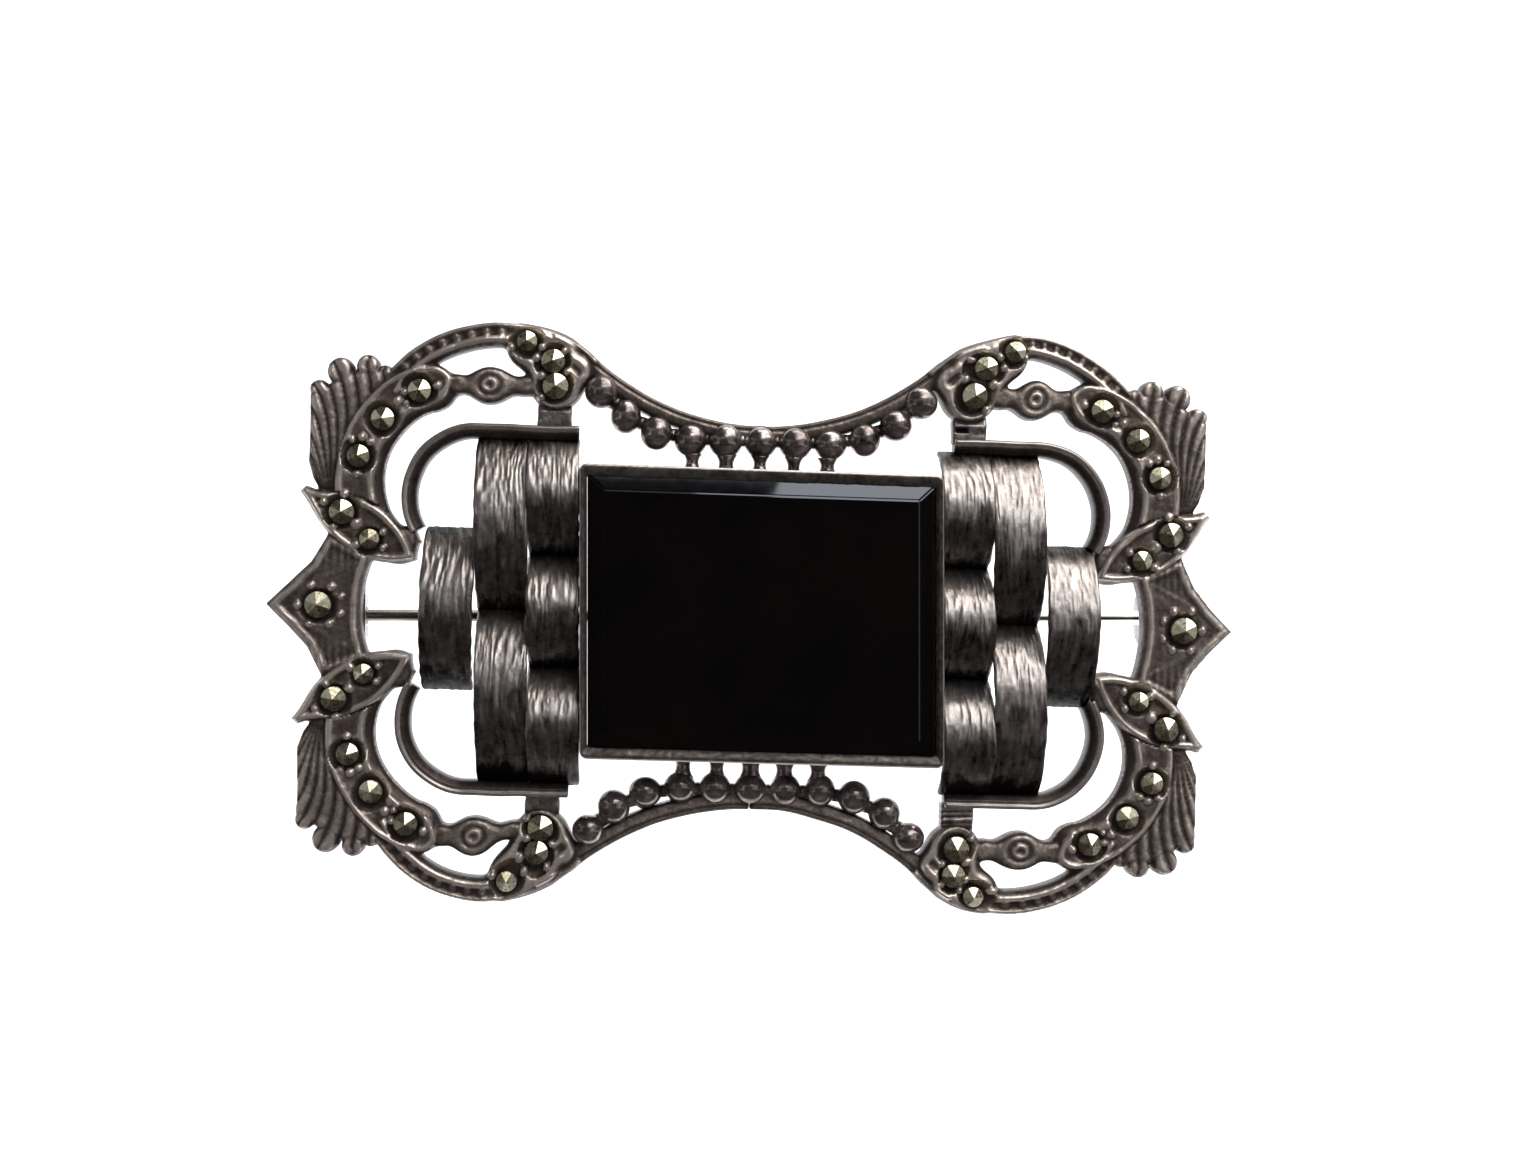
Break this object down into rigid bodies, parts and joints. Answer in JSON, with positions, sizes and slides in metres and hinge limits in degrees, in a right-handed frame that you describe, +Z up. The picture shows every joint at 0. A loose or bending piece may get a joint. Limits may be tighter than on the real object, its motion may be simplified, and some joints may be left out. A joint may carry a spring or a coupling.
{
  "type": "brooch",
  "caption": "Openwork bar brooch with a bevelled black stone in a box bezel, rippled ribbons, small faceted stones, a hinged pin and a roll-over catch.",
  "frame": {"origin": "centre of the flat back of the stone's setting, the face that lies against the garment", "axes": "+X to the right of the wearer's viewer along the brooch, +Z up as worn, the front faces -Y and the pin is on the +Y side"},
  "size_m": [0.06, 0.01, 0.036],
  "materials": {
    "oxidised_silver": "oxidised, worn",
    "bead_silver": "oxidised, rubbed",
    "bezel_silver": "oxidised, burnished lip",
    "back_silver": "tarnished",
    "ribbon_silver": "bark textured, oxidised in the grooves",
    "wire_silver": "oxidised, rubbed edges",
    "findings_silver": "tarnished",
    "pin_steel": "drawn",
    "marcasite": "polished facets",
    "onyx": "polished"
  },
  "bodies": {
    "brooch": {"left_frame": "oxidised_silver", "right_frame": "oxidised_silver", "top_beads": "bead_silver", "bottom_beads": "bead_silver", "top_posts": "bead_silver", "bottom_posts": "bead_silver", "bezel_wall": "bezel_silver", "bezel_seat": "back_silver", "onyx": "onyx", "left_inner_ribbon": "ribbon_silver", "left_middle_ribbon": "ribbon_silver", "left_outer_ribbon": "ribbon_silver", "right_inner_ribbon": "ribbon_silver", "right_middle_ribbon": "ribbon_silver", "right_outer_ribbon": "ribbon_silver", "upper_left_wire": "wire_silver", "lower_left_wire": "wire_silver", "upper_right_wire": "wire_silver", "lower_right_wire": "wire_silver", "upper_left_tab": "wire_silver", "lower_left_tab": "wire_silver", "upper_right_tab": "wire_silver", "lower_right_tab": "wire_silver", "upper_left_marcasites": "marcasite", "lower_left_marcasites": "marcasite", "left_point_marcasite": "marcasite", "upper_right_marcasites": "marcasite", "lower_right_marcasites": "marcasite", "right_point_marcasite": "marcasite", "hinge_base": "findings_silver", "hinge_rivet": "findings_silver", "catch_base": "findings_silver", "catch_housing": "findings_silver"},
    "pin": {"pin_stem": "pin_steel"},
    "rotor": {"catch_rotor": "findings_silver"}
  },
  "joints": [
    {"name": "pin_hinge", "type": "hinge", "parent": "brooch", "child": "pin", "pos_m": [-0.02529, 0.0031, -0.00066], "axis": [-0.0262, 0, 0.9997], "range_deg": [0, 105]},
    {"name": "catch_turn", "type": "hinge", "parent": "brooch", "child": "rotor", "pos_m": [0.02619, 0.0031, 0.00069], "axis": [0.9997, 0, 0.0262], "range_deg": [0, 90]}
  ]
}
